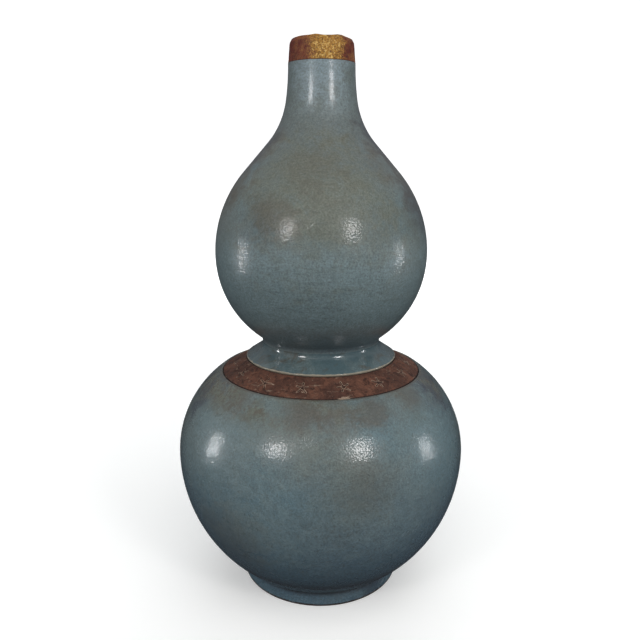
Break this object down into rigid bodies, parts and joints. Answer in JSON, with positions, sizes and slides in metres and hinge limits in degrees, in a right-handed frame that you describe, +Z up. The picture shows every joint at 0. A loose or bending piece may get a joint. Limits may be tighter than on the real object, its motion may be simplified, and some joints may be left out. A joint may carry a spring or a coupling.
{
  "type": "double gourd vase",
  "caption": "Double gourd vase in glazed stoneware with a drawn-in neck, a lacquered mouth cuff, a recessed brown clay band on the lower shoulder and a turned foot ring.",
  "frame": {"origin": "centre of the resting face of the foot ring", "axes": "+Z up along the vase's axis, -Y towards the viewer"},
  "size_m": [0.217, 0.217, 0.4],
  "materials": {
    "celadon_glaze": "satin grey-green glaze with brown mottling and fine pitting, darker where it pools",
    "iron_brown_clay": "unglazed iron-brown clay, dry, worn and chipped, with shallow carving",
    "lacquer_paste": "hard dark lacquer paste",
    "lacquered_metal": "thin metal under worn red-brown lacquer with patchy gold leaf"
  },
  "bodies": {
    "root": {"foot_ring": "celadon_glaze", "lower_bowl": "celadon_glaze", "lower_shoulder": "celadon_glaze", "shoulder_band": "iron_brown_clay", "waist_collar": "celadon_glaze", "upper_bowl": "celadon_glaze", "upper_shoulder": "celadon_glaze", "neck": "celadon_glaze", "lacquer_bed": "lacquer_paste", "mouth_cuff": "lacquered_metal"}
  },
  "joints": []
}
